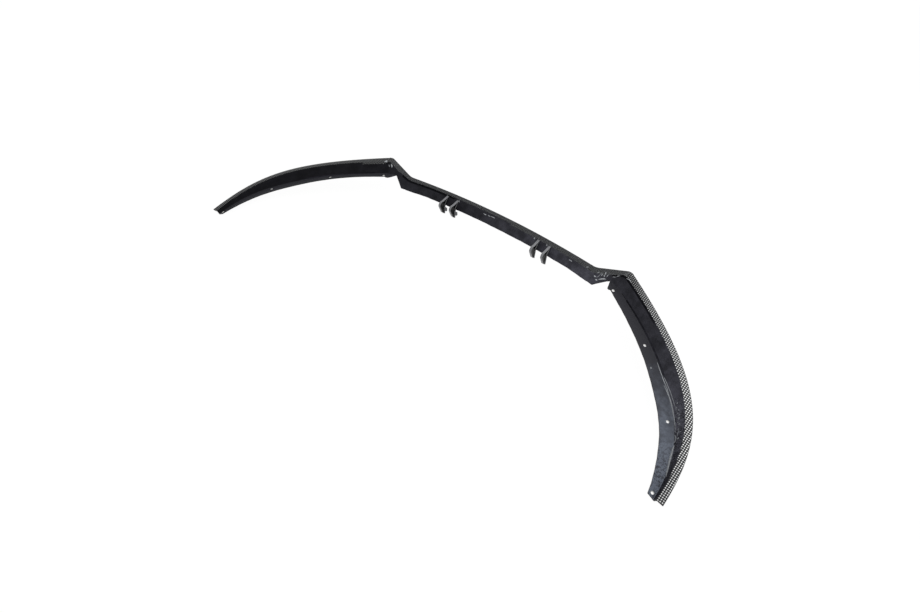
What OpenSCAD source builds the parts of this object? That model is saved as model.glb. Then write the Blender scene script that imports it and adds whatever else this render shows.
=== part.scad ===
// Front splitter lip, one moulded carbon fibre skin with four bonded hook tabs.
// It lies as it rests on a floor: +Z up, +Y towards the front of the car, X across it.
// The origin is under the middle of its outline, at floor height.

/* [Outline] */
// Width over both wing ends
lip_w = 1792; // [1720:1:1880]
// Depth from the front edge to the wing ends
lip_depth = 553; // [520:1:600]
// Distance between the two front corners
corner_w = 990; // [970:1:1010]
// Set-back of the front corners behind the middle
corner_setback = 6.5; // [4:0.5:12]
// Distance between the bends where the centre section ends
bend_w = 774; // [750:1:790]
// Set-back of the bends behind the middle
bend_setback = 25; // [18:1:30]
// Rounding of the bends, measured along the edge
bend_round = 12; // [6:1:20]
// Rounding of the front corners, measured along the edge
corner_round = 10; // [6:1:16]
// Heading of the wing where it leaves the corner, in degrees
wing_heading = 32; // [29:1:35]
// Reach of the curve behind the corner
wing_reach_front = 393; // [360:1:410]
// Reach of the curve ahead of the wing end
wing_reach_end = 215; // [190:1:240]
// Slant of the trimmed wing end, in degrees
end_slant = 10; // [0:1:14]

/* [Heights] */
// Height of the outer edge at the middle
centre_z = 69; // [64:1:76]
// Height of the outer edge at the bends
bend_z = 69; // [62:1:74]
// Height of the outer edge at the front corners
corner_z = 98; // [90:1:104]
// Sag of the wing edge below a straight line
wing_sag = 4; // [0:1:6]

/* [Skin] */
// Thickness of the laminate
skin_t = 3; // [2.4:0.1:3.6]
// Thickness of the folded outer edge
nose_t = 5.5; // [4.6:0.1:6.5]
// Height of the step where the blade's top skin is trimmed
ridge_step = 1.6; // [1:0.1:2]

/* [Centre section] */
// Width of the blade at the centre
centre_blade = 9; // [8:0.5:13]
// Fall of the blade at the centre
centre_blade_fall = 9; // [5:0.5:11]
// Run of the sloping face at the centre
centre_face_run = 23; // [20:0.5:28]
// Fall of the sloping face at the centre
centre_face_fall = 29; // [25:0.5:31]
// Width of the blade at the bends
bend_blade = 13; // [10:0.5:16]
// Fall of the blade at the bends
bend_blade_fall = 7.5; // [4:0.5:9]
// Run of the sloping face at the bends
bend_face_run = 30; // [26:0.5:34]
// Fall of the sloping face at the bends
bend_face_fall = 23.5; // [20:0.5:27]
// Growth of the face's run along the diagonal, per mm
face_spread = 0.25; // [0:0.05:0.35]

/* [Wings] */
// Width of the blade at the front corners
front_blade = 22; // [19:0.5:24]
// Fall of the blade at the front corners
front_blade_fall = 4; // [0:0.5:6]
// Width of the blade where the wall is widest
mid_blade = 20; // [17:0.5:23]
// Width of the blade at the wing ends
end_blade = 18.5; // [15:0.5:21]
// Run of the wall at the front corners
front_wall_run = 27; // [24:0.5:31]
// Fall of the wall at the front corners
front_wall_fall = 33.5; // [30:0.5:38]
// Run of the wall where it is widest
mid_wall_run = 27.5; // [24:0.5:32]
// Fall of the wall where it is widest
mid_wall_fall = 28.5; // [24:0.5:32]
// Run of the wall at the wing ends
end_wall_run = 7; // [5:0.5:9]
// Fall of the wall at the wing ends
end_wall_fall = 12.5; // [9:0.5:14]
// Width of the flange at the front corners
front_flange = 27.5; // [24:0.5:31]
// Width of the flange where the wall is widest
mid_flange = 41; // [37:0.5:45]
// Width of the flange at the wing ends
end_flange = 18; // [16:0.5:22]
// Rise of the flange towards its inner edge at the front
front_flange_rise = 8.5; // [5:0.5:12]
// Rise of the flange towards its inner edge where the wall is widest
mid_flange_rise = 14; // [10:0.5:17]
// Rise of the flange towards its inner edge at the wing ends
end_flange_rise = 8; // [5:0.5:10]

/* [Notches] */
// Distance of the notch apex inboard of the corner
notch_in = 47.5; // [43:0.5:52]
// Distance of the notch apex behind the outer edge
notch_back = 36.5; // [33:0.5:40]
// Angle of the notch side at the wing flange, off straight back
notch_wing_angle = 17; // [10:1:24]
// Angle of the notch side at the centre face, off straight back
notch_centre_angle = 60; // [54:1:64]
// Width of the blade in front of the notch
notch_blade = 21; // [18:0.5:24]
// Fall of the blade in front of the notch
notch_blade_fall = 8; // [5:0.5:10]
// Run of the pocket's end wall at the notch
notch_wall_run = 9; // [7:0.5:12]
// Fall of the pocket's end wall at the notch
notch_wall_fall = 17; // [14:0.5:20]

/* [Screw holes] */
// Diameter of the screw holes
hole_d = 6.5; // [5:0.1:8]
// Distance of the first hole inboard of the crease
hole_1_in = 21.5; // [18:0.5:24]
// Distance of the second hole inboard of the crease
hole_2_in = 21; // [17:0.5:24]
// Distance of the third hole inboard of the crease
hole_3_in = 17; // [14:0.5:20]
// Distance of the fourth hole inboard of the crease
hole_4_in = 10; // [8:0.5:11]
// Distance of the first hole behind the corner, along the outer edge
hole_1_along = 0; // [0:1:12]
// Distance of the second hole behind the corner, along the outer edge
hole_2_along = 225; // [205:1:250]
// Distance of the third hole behind the corner, along the outer edge
hole_3_along = 478; // [460:1:500]
// Distance of the fourth hole ahead of the wing end, along the outer edge
hole_4_ahead = 10; // [10:1:30]

/* [Hook tabs] */
// Distance between the two inner tabs
inner_tab_w = 342; // [310:1:366]
// Distance between the two tabs of a pair
tab_spacing = 45; // [36:0.5:60]
// Reach of the tabs behind the outer edge of the lip
tab_reach = 60; // [57:1:66]
// Lean of the tabs' front edge to the rear, down to the foot
tab_lean = 6; // [0:0.5:8]
// Depth of the tabs at their cut-off foot
tab_foot = 12; // [9:0.5:15]
// Rise of the foot towards its rear corner
tab_foot_rise = 10; // [4:0.5:12]
// Width of the ear at the foot of each tab
tab_ear_w = 14; // [10:0.5:18]
// Gap between the ear and the lower edge of the sloping face
tab_ear_drop = 4; // [2:0.5:6]
// Width of the rim round each tab
tab_rim_w = 8.5; // [7:0.5:10]
// Thickness of the rim
tab_rim_t = 2.6; // [2:0.1:3.2]
// Thickness of the web inside the rim
tab_web_t = 3.2; // [2.4:0.1:4]
// Radius of the tab's rear shoulder
tab_round = 13; // [11:0.5:15]
// Thickness of the bond line between a tab and the sloping face
tab_bond = 0.15; // [0.1:0.05:0.3]

/* [Hidden] */
carbon = "#23262a";
laminate = "#2e2f31";
front_y = lip_depth / 2;
end_x = lip_w / 2;
bend_x = bend_w / 2;
corner_x = corner_w / 2;
centre_stations = 14;
bend_stations = 3;
diagonal_stations = 10;
corner_stations = 4;
wing_stations = 42;
// Share of the centre section that keeps the plain centre profile
centre_plain = 0.76;
// Share of the wing's length at which the wall is widest
wing_widest = 0.48;
// Share of the wing's length over which the sections finish turning square to it
wing_fan = 0.1;
// Share of the wing's length at which its sections start turning to the trimmed end
slant_start = 0.8;
// How late the notch's section builds up and how soon it fades, as powers of the way
notch_build = 2;
notch_fade = 1.6;
// How soon the wall and the flange gain their width, and how late the flange loses it
wall_build = 3;
flange_build = 1.5;
flange_fade = 3;
// Shape of the folded nose, as shares of its thickness
nose_front = 0.14;
nose_drop = 0.15;
nose_round = 0.45;
// Swell of the blade, the wall and the wall's underside off a straight line
blade_swell = 0.3;
wall_swell = 0.5;
wall_low_swell = 0.4;
// Places of the shaping points along the blade and the wall, as shares of their width
blade_mid = 0.6;
blade_under = 0.8;
wall_high = 0.34;
wall_low = 0.62;
under_high = 0.12;
under_low = 0.45;
// Place of the wall's first point in the upper line of a section
face_first = 4;
// Share of the way down the wall's first stretch at which a tab starts
tab_top = 0.4;
// Share of the foot that lies flat on the floor
foot_flat = 0.3;
// Share of the tab's lean at which its ear stands
ear_lean = 0.6;
// Depth of the shoulder's centre under the top of the face, in shoulder radii
shoulder_drop = 1.3;
// Where the tab's rear shoulder starts and ends, in degrees
shoulder_low = 192;
shoulder_high = 68;
// Share of the wall and of the flange taken up by the rounding of the crease
crease_soft = 0.16;
shoulder_steps = 8;
ear_steps = 6;
cut_over = 10;
cut_h = corner_z + cut_over;

function lerp(a, b, t) = a + (b - a) * t;
function clamp01(t) = min(1, max(0, t));
function ease(t) = (1 - cos(180 * clamp01(t))) / 2;
function bezier(p, t) =
    pow(1 - t, 3) * p[0] + 3 * t * pow(1 - t, 2) * p[1]
    + 3 * t * t * (1 - t) * p[2] + pow(t, 3) * p[3];
function bezier_slope(p, t) =
    pow(1 - t, 2) * (p[1] - p[0]) + 2 * t * (1 - t) * (p[2] - p[1]) + t * t * (p[3] - p[2]);

// The outer edge in plan, on the +X side: bow, diagonal, rounded corner and wing
bend_p = [bend_x, front_y - bend_setback];
corner_p = [corner_x, front_y - corner_setback];
diagonal_length = norm(corner_p - bend_p);
diagonal_dir = (corner_p - bend_p) / diagonal_length;
bend_end = bend_p + bend_round * diagonal_dir;
corner_start = corner_p - corner_round * diagonal_dir;
wing_start = corner_p + corner_round * [cos(wing_heading), -sin(wing_heading)];
end_p = [end_x, -front_y];
wing_curve = [
    wing_start,
    wing_start + wing_reach_front * [cos(wing_heading), -sin(wing_heading)],
    end_p + [0, wing_reach_end],
    end_p
];
function bow_point(t) = [t * bend_x, front_y - bend_setback * t * t];
// Share of the bow that stays clear of the bend's rounding
bow_share = 1 - bend_round / bend_x;
function bend_point(t) =
    pow(1 - t, 2) * bow_point(bow_share) + 2 * t * (1 - t) * bend_p + t * t * bend_end;
function corner_point(t) =
    pow(1 - t, 2) * corner_start + 2 * t * (1 - t) * corner_p + t * t * wing_start;
function wing_point(t) = bezier(wing_curve, t);
function wing_turn(t) = let(d = bezier_slope(wing_curve, t)) atan2(-d[1], d[0]);

// The wing is measured along its edge
wing_samples = 60;
wing_lengths = [
    for (i = 0, run = 0; i <= wing_samples; i = i + 1,
         run = run + norm(wing_point(i / wing_samples) - wing_point((i - 1) / wing_samples)))
    [run, i / wing_samples]
];
wing_length = wing_lengths[wing_samples][0];
function wing_t(along) = lookup(along, wing_lengths);

// Height of the outer edge
function bow_z(t) = lerp(centre_z, bend_z, t * t);
function wing_z(y) =
    let(t = (corner_p[1] - y) / (corner_p[1] + front_y))
    lerp(corner_z, end_z, t) - wing_sag * sin(180 * clamp01(t));
function diagonal_z(x) = lerp(bend_z, corner_z, (x - bend_x) / (corner_start[0] - bend_x));
function bend_rise(t) =
    pow(1 - t, 2) * bow_z(bow_share) + 2 * t * (1 - t) * bend_z + t * t * diagonal_z(bend_end[0]);

// Each profile is [blade, blade fall, wall run, wall fall, flange, flange rise].
// At the centre the last stretch only carries the face on, straight down its slope.
face_split = 0.6;
function face_profile(blade, fall, run, drop) =
    [blade, fall, run * face_split, drop * face_split, run * (1 - face_split), -drop * (1 - face_split)];
centre_profile = face_profile(centre_blade, centre_blade_fall, centre_face_run, centre_face_fall);
bend_profile = face_profile(bend_blade, bend_blade_fall, bend_face_run, bend_face_fall);
notch_profile = [notch_blade, notch_blade_fall, notch_wall_run, notch_wall_fall, front_flange, 0];
front_profile = [front_blade, front_blade_fall, front_wall_run, front_wall_fall,
                 front_flange, front_flange_rise];
mid_profile = [mid_blade, 0, mid_wall_run, mid_wall_fall, mid_flange, mid_flange_rise];
end_profile = [end_blade, 0, end_wall_run, end_wall_fall, end_flange, end_flange_rise];

function centre_section(t) =
    lerp(centre_profile, bend_profile, ease((t - centre_plain) / (1 - centre_plain)));
// Share of the diagonal at which the notch has its apex
notch_share = (corner_x - notch_in - bend_x) / (corner_x - bend_x);
// Along the diagonal the outer edge climbs while the lower edge of the face stays level
function rising_face(x) =
    face_profile(bend_blade, bend_blade_fall,
                 bend_face_run + face_spread * (x - bend_x),
                 bend_face_fall + diagonal_z(x) - bend_z);
function diagonal_section(x) =
    let(t = (x - bend_x) / (corner_start[0] - bend_x))
    t < notch_share
        ? lerp(rising_face(x), notch_profile, pow(t / notch_share, notch_build))
        : lerp(notch_profile, front_profile, pow((t - notch_share) / (1 - notch_share), notch_fade));
function wing_profile(t) = t < wing_widest
    ? lerp(front_profile, mid_profile, 1 - pow(1 - t / wing_widest, wall_build))
    : lerp(mid_profile, end_profile, ease((t - wing_widest) / (1 - wing_widest)));
function wing_flange(t) = t < wing_widest
    ? lerp(front_flange, mid_flange, 1 - pow(1 - t / wing_widest, flange_build))
    : lerp(mid_flange, end_flange, pow((t - wing_widest) / (1 - wing_widest), flange_fade));
function wing_section(t) =
    let(p = wing_profile(t))
    [p[0], p[1], p[2], p[3], wing_flange(t), p[5]];

// The sections start square to the car and turn until they stand square to the wing
fan_start = 0.1;
fan_length = diagonal_length * (1 - fan_start) + corner_round + wing_fan * wing_length;
function fan(along) = ease(along / fan_length);
fan_end_turn = wing_turn(wing_t(wing_fan * wing_length));

// The wing ends touch the floor with the underside of their crease
end_z = -min([for (q = lower_line(end_profile)) q[1]]);

// A station is [outer edge point, turn of its section, profile]
centre_list = [
    for (i = [0:centre_stations - 1])
    let(t = bow_share * i / centre_stations, p = bow_point(t))
    [[p[0], p[1], bow_z(t)], 0, centre_section(t)]
];
bend_list = [
    for (i = [0:bend_stations - 1])
    let(t = i / bend_stations, p = bend_point(t), on_bow = p[0] < bend_x)
    [[p[0], p[1], bend_rise(t)], 0,
     on_bow ? centre_section(p[0] / bend_x) : diagonal_section(p[0])]
];
diagonal_list = [
    for (i = [0:diagonal_stations - 1])
    let(p = lerp(bend_end, corner_start, i / diagonal_stations),
        along = norm(p - bend_p) - fan_start * diagonal_length)
    [[p[0], p[1], diagonal_z(p[0])], fan_end_turn * fan(along), diagonal_section(p[0])]
];
corner_list = [
    for (i = [0:corner_stations - 1])
    let(t = i / corner_stations, p = corner_point(t),
        along = (1 - fan_start) * diagonal_length - corner_round + t * 2 * corner_round)
    [[p[0], p[1], corner_z], fan_end_turn * fan(along), front_profile]
];
wing_list = [
    for (i = [0:wing_stations])
    wing_station(wing_length * i / wing_stations)
];
function wing_station(along) =
    let(t = wing_t(along), p = wing_point(t), share = along / wing_length,
        along_fan = (1 - fan_start) * diagonal_length + corner_round + along,
        square = wing_turn(t) + end_slant * ease((share - slant_start) / (1 - slant_start)),
        turn = share < wing_fan ? fan_end_turn * fan(along_fan) : square)
    [[p[0], p[1], wing_z(p[1])], turn, wing_section(share)];
half_list = concat(centre_list, bend_list, diagonal_list, corner_list, wing_list);
last = len(half_list) - 1;
function mirrored(s) = [[-s[0][0], s[0][1], s[0][2]], -s[1], s[2]];
stations = concat([for (i = [last:-1:1]) mirrored(half_list[i])], half_list);

// Upper line of a section as [distance inboard, height], from the nose to the flange edge
function upper_line(p) =
    let(ridge = [p[0], -p[1]],
        top = ridge + [ridge_step * 0.5, -ridge_step],
        crease = [p[0] + p[2], -p[1] - p[3]],
        edge = crease + [p[4], p[5]],
        wall_end = lerp(crease, top, crease_soft),
        flange_start = lerp(crease, edge, crease_soft))
    [
        [nose_t * nose_front, -nose_t * nose_drop],
        [nose_t * nose_round, 0],
        ridge * blade_mid + [0, blade_swell],
        ridge,
        top,
        lerp(top, crease, wall_high) + [0, wall_swell],
        lerp(top, crease, wall_low) + [0, wall_low_swell],
        wall_end,
        crease * 0.5 + wall_end * 0.25 + flange_start * 0.25,
        flange_start,
        lerp(flange_start, edge, 0.5),
        edge
    ];

// Lower line, back from the flange edge to the nose, one skin thickness below
function lower_line(p) =
    let(ridge = [p[0], -p[1]],
        crease = [p[0] + p[2], -p[1] - p[3]],
        edge = crease + [p[4], p[5]],
        wall_dir = (crease - ridge) / norm(crease - ridge),
        flange_dir = (edge - crease) / norm(edge - crease),
        wall_n = skin_t * [wall_dir[1], -wall_dir[0]],
        flange_n = skin_t * [flange_dir[1], -flange_dir[0]],
        mid_n = (wall_n + flange_n) / (1 + wall_dir * flange_dir))
    [
        edge + flange_n,
        lerp(crease, edge, crease_soft) + flange_n,
        crease + mid_n,
        lerp(crease, ridge, crease_soft) + wall_n,
        lerp(ridge, crease, under_low) + wall_n + [0, -wall_low_swell],
        lerp(ridge, crease, under_high) + wall_n + [0, -ridge_step],
        ridge * blade_under + [0, -nose_t],
        [nose_t * nose_round, -nose_t],
        [nose_t * nose_front, -nose_t * (1 - nose_drop)],
        [0, -nose_t / 2]
    ];
function section(p) = concat(upper_line(p), lower_line(p));
section_n = len(section(centre_profile));

// Place a section point in space: inboard along the turned direction, and up
function place(s, q) =
    [s[0][0] - q[0] * sin(s[1]), s[0][1] - q[0] * cos(s[1]), s[0][2] + q[1]];
function ring(s) = [for (q = section(s[2])) place(s, q)];

module swept_skin() {
    n = section_n;
    count = len(stations);
    points = [for (s = stations) each ring(s)];
    sides = [
        for (i = [0:count - 2], j = [0:n - 1])
        let(a = i * n + j, b = i * n + (j + 1) % n)
        each [[a, b + n, b], [a, a + n, b + n]]
    ];
    first_cap = [for (j = [0:n - 1]) j];
    last_cap = [for (j = [n - 1:-1:0]) (count - 1) * n + j];
    polyhedron(points, concat([first_cap], sides, [last_cap]), convexity = 10);
}

// V-shaped notch between the wing flange and the centre face
module notch() {
    reach = front_wall_run + front_flange + front_blade;
    apex = [corner_x - notch_in, front_y - corner_setback - notch_back];
    linear_extrude(cut_h)
        polygon([
            apex,
            apex + 2 * reach * [sin(notch_wing_angle), -cos(notch_wing_angle)],
            apex + 2 * reach * [-sin(notch_centre_angle), -cos(notch_centre_angle)]
        ]);
}

// Screw hole places on the +X wing
hole_places = [
    hole_place(hole_1_along, hole_1_in),
    hole_place(hole_2_along, hole_2_in),
    hole_place(hole_3_along, hole_3_in),
    hole_place(wing_length - hole_4_ahead, hole_4_in)
];
function hole_place(along, inboard) =
    let(s = wing_station(along), p = s[2])
    place(s, [p[0] + p[2] + inboard, -p[1] - p[3] + p[5] * inboard / p[4]]);

module screw_holes() {
    for (p = hole_places)
        translate([p[0], p[1], 0])
        cylinder(h = cut_h, d = hole_d, $fn = 32);
}

module lip_shell() {
    color(carbon)
        difference() {
            swept_skin();
            for (side = [0, 1])
                mirror([side, 0, 0]) {
                    notch();
                    screw_holes();
                }
        }
}

// The centre station at a tab, and its upper face there as [Y, Z] points
function face_station(x) =
    let(t = x / bend_x, p = bow_point(t))
    [[p[0], p[1], bow_z(t)], 0, centre_section(t)];
function face_line(x) =
    let(s = face_station(x), line = upper_line(s[2]))
    [for (i = [face_first:len(line) - 1]) [s[0][1] - line[i][0], s[0][2] + line[i][1]]];

function arc(c, r, from, to, n) =
    [for (i = [0:n]) let(a = lerp(from, to, i / n)) c + r * [cos(a), sin(a)]];

// The bond line is thicker where the bow slants across the width of a tab
function tab_gap(x) = tab_bond + tab_rim_w * bend_setback * x / (bend_x * bend_x);

// Square to the sloping face, upwards and to the rear
function face_slope(line) =
    let(d = line[0] - line[len(line) - 1])
    atan2(d[1], d[0]);
function face_normal(line) =
    let(a = face_slope(line))
    [-sin(a), cos(a)];
function shoulder_centre(x, line) =
    [face_station(x)[0][1] - tab_reach + tab_round, line[0][1] - shoulder_drop * tab_round];

// Side outline of a tab as [Y, Z]: down the face, across the foot and over the shoulder
function tab_outline(x) =
    let(line = face_line(x), n = face_normal(line), count = len(line),
        toe = line[count - 1][0] - tab_gap(x) - tab_lean)
    concat(
        [for (i = [1:count - 1]) line[i] + tab_gap(x) * n],
        [[toe, 0], [toe - tab_foot * foot_flat, 0], [toe - tab_foot, tab_foot_rise]],
        arc(shoulder_centre(x, line), tab_round, shoulder_low, shoulder_high, shoulder_steps),
        [lerp(line[0], line[1], tab_top) + tab_gap(x) * n]
    );

// The recess inside the rim, open at the foot
function tab_recess(x) =
    let(line = face_line(x), n = face_normal(line), count = len(line),
        inset = tab_gap(x) + tab_rim_t,
        start = line[1] + inset * n,
        low = line[count - 1],
        toe = low[0] - inset - tab_lean)
    concat(
        [start, [low[0] - inset, low[1] + inset]],
        [[toe, -1], [toe - tab_foot + 2 * tab_rim_t, -1]],
        arc(shoulder_centre(x, line), tab_round - tab_rim_t, shoulder_low, shoulder_high, shoulder_steps)
    );

// Ear at the foot of a tab, turned inboard under the sloping face
module tab_ear(x) {
    line = face_line(x);
    low = line[len(line) - 1];
    r = tab_ear_w / 2;
    translate([0, low[0] - tab_gap(x) - tab_lean * ear_lean, 0])
        rotate([90, 0, 0])
        linear_extrude(tab_rim_t)
        polygon(concat(
            [[0, low[1] - tab_ear_drop], [0, tab_foot_rise]],
            arc([tab_ear_w - r, tab_foot_rise + r], r, -90, 0, ear_steps),
            [[tab_ear_w, low[1] - tab_ear_drop]]
        ));
}

// A fin with a thin web and a wider rim round its edge, standing on the sloping face
module hook_tab(x) {
    outer = abs(x);
    color(laminate)
        translate([x, 0, 0]) {
            rotate([90, 0, 90]) {
                translate([0, 0, -tab_web_t / 2])
                    linear_extrude(tab_web_t)
                    polygon(tab_outline(outer));
                translate([0, 0, -tab_rim_w / 2])
                    linear_extrude(tab_rim_w)
                    difference() {
                        polygon(tab_outline(outer));
                        polygon(tab_recess(outer));
                    }
            }
            mirror([x > 0 ? 1 : 0, 0, 0])
                tab_ear(outer);
        }
}
module hook_tab_left_outer() hook_tab(-inner_tab_w / 2 - tab_spacing);
module hook_tab_left_inner() hook_tab(-inner_tab_w / 2);
module hook_tab_right_inner() hook_tab(inner_tab_w / 2);
module hook_tab_right_outer() hook_tab(inner_tab_w / 2 + tab_spacing);

lip_shell();
hook_tab_left_outer();
hook_tab_left_inner();
hook_tab_right_inner();
hook_tab_right_outer();
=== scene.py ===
"""Front splitter lip: a moulded carbon fibre skin with four bonded hook tabs, on a pale floor."""

from math import cos, pi, radians, sin

import bmesh
import bpy
import numpy as np
from bpy.props import FloatProperty, FloatVectorProperty, PointerProperty
from mathutils import Matrix, Vector


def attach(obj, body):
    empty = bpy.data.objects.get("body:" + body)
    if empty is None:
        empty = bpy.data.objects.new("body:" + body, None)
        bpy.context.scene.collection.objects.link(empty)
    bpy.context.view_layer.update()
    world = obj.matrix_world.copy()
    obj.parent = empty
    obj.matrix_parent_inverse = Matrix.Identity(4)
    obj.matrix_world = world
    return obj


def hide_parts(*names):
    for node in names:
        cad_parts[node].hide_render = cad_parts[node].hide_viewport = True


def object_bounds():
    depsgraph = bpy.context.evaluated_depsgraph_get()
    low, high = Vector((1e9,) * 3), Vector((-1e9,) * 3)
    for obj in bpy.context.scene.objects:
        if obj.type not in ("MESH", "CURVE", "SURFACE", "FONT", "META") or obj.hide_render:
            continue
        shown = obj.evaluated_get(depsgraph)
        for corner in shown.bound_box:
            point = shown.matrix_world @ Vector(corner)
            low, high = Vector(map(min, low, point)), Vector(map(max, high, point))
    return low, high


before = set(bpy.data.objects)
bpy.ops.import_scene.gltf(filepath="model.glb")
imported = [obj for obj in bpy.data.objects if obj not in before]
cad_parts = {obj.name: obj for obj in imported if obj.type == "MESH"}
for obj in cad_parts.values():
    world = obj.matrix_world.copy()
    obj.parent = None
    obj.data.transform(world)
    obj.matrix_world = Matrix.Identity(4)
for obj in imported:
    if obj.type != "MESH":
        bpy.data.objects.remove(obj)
CAD_BOX = [list(corner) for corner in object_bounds()]
TABS = [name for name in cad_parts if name.startswith("hook_tab")]
MM = 0.001

bl_info = {
    "name": "Front splitter lip",
    "version": (1, 0, 0),
    "blender": (4, 5, 0),
    "location": "View3D > Sidebar > Splitter lip",
    "description": "Dresses a moulded carbon fibre splitter lip and its bonded hook tabs",
    "category": "Object",
}


def linear(hex_colour):
    """An sRGB hex colour as linear red, green and blue."""
    shares = [int(hex_colour[i:i + 2], 16) / 255 for i in (1, 3, 5)]
    return [c / 12.92 if c <= 0.04045 else ((c + 0.055) / 1.055) ** 2.4 for c in shares]


def length(name, description, millimetres):
    """A length that a user may change, given in millimetres."""
    return FloatProperty(
        name=name, description=description, default=millimetres * MM, unit="LENGTH")


def angle(name, description, degrees):
    """An angle that a user may change, given in degrees."""
    return FloatProperty(
        name=name, description=description, default=radians(degrees), subtype="ANGLE")


def number(name, description, default):
    """A plain number that a user may change."""
    return FloatProperty(name=name, description=description, default=default)


def spot(name, description, place):
    """A place in space that a user may change, given in metres."""
    return FloatVectorProperty(
        name=name, description=description, default=place, subtype="TRANSLATION", unit="LENGTH")


def colour(name, description, hex_colour):
    """A colour that a user may change."""
    return FloatVectorProperty(
        name=name, description=description, default=linear(hex_colour), subtype="COLOR")


class SPLITTER_PG_outline(bpy.types.PropertyGroup):
    """Plan and heights of the lip's outer edge."""

    lip_w: length("Width", "Width over both wing ends", 1792)
    lip_depth: length("Depth", "Depth from the front edge to the wing ends", 553)
    corner_w: length("Corner width", "Distance between the two front corners", 990)
    corner_setback: length("Corner set-back", "Set-back of the corners behind the middle", 6.5)
    bend_w: length("Bend width", "Distance between the bends of the centre section", 774)
    bend_setback: length("Bend set-back", "Set-back of the bends behind the middle", 25)
    bend_round: length("Bend rounding", "Rounding of the bends along the edge", 12)
    corner_round: length("Corner rounding", "Rounding of the corners along the edge", 10)
    wing_heading: angle("Wing heading", "Heading of the wing where it leaves the corner", 32)
    wing_reach_front: length("Front reach", "Reach of the curve at the corner", 393)
    wing_reach_end: length("End reach", "Reach of the curve at the wing end", 215)
    end_slant: angle("End slant", "Slant of the trimmed wing end", 10)
    centre_z: length("Centre height", "Height of the outer edge at the middle", 69)
    bend_z: length("Bend height", "Height of the outer edge at the bends", 69)
    corner_z: length("Corner height", "Height of the outer edge at the corners", 98)
    wing_sag: length("Wing sag", "Sag of the wing edge below a straight line", 4)


class SPLITTER_PG_section(bpy.types.PropertyGroup):
    """Widths and thicknesses of the lip's section."""

    skin_t: length("Skin", "Thickness of the laminate", 3)
    nose_t: length("Nose", "Thickness of the folded outer edge", 5.5)
    ridge_step: length("Ridge step", "Height of the step where the top skin is trimmed", 1.6)
    face_spread: number(
        "Face spread", "Growth of the face's run along the diagonal, per metre", 0.25)
    wall_hollow: number("Wall hollow", "Depth of the wall's hollow as a share of its run", 0.07)
    trim_waver: length("Trim waver", "How far the hand-trimmed inner edge wavers", 0.5)


# What is measured of the section, and its sizes in millimetres at the places where it changes
MEASURES = {
    "blade": "Width of the blade", "fall": "Fall of the blade",
    "run": "Run of the wall", "drop": "Drop of the wall",
    "flange": "Width of the flange", "rise": "Rise of the flange",
}
PLACES = {
    "centre": ("at the centre", (9, 9, 23, 29)),
    "bend": ("at the bends", (13, 7.5, 30, 23.5)),
    "notch": ("in front of the notch", (21, 8, 9, 17)),
    "front": ("at the corners", (22, 4, 27, 33.5, 27.5, 8.5)),
    "mid": ("where the wall is widest", (20, 0, 27.5, 28.5, 41, 14)),
    "end": ("at the wing ends", (18.5, 0, 7, 12.5, 18, 8)),
}
for key, (where, sizes) in PLACES.items():
    for (part, measure), size in zip(MEASURES.items(), sizes):
        SPLITTER_PG_section.__annotations__[f"{key}_{part}"] = length(
            f"{key} {part}".capitalize(), f"{measure} {where}", size)


class SPLITTER_PG_cuts(bpy.types.PropertyGroup):
    """Notches and screw holes."""

    notch_in: length("Notch inboard", "From the corner inboard to the notch apex", 47.5)
    notch_back: length("Notch back", "From the outer edge back to the notch apex", 36.5)
    notch_wing_angle: angle("Wing side", "Angle of the notch side at the wing flange", 17)
    notch_centre_angle: angle("Centre side", "Angle of the notch side at the centre face", 60)
    hole_d: length("Hole", "Diameter of the screw holes", 6.5)
    deburr: length("Deburring", "Depth of the chamfer round each hole", 0.9)
    hole_1_in: length("First hole inboard", "From the crease to the first hole", 21.5)
    hole_2_in: length("Second hole inboard", "From the crease to the second hole", 21)
    hole_3_in: length("Third hole inboard", "From the crease to the third hole", 17)
    hole_4_in: length("Fourth hole inboard", "From the crease to the fourth hole", 10)
    hole_1_along: length("First hole", "From the corner to the first hole", 0)
    hole_2_along: length("Second hole", "From the corner to the second hole", 225)
    hole_3_along: length("Third hole", "From the corner to the third hole", 478)
    hole_4_ahead: length("Fourth hole", "From the wing end to the fourth hole", 10)


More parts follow.
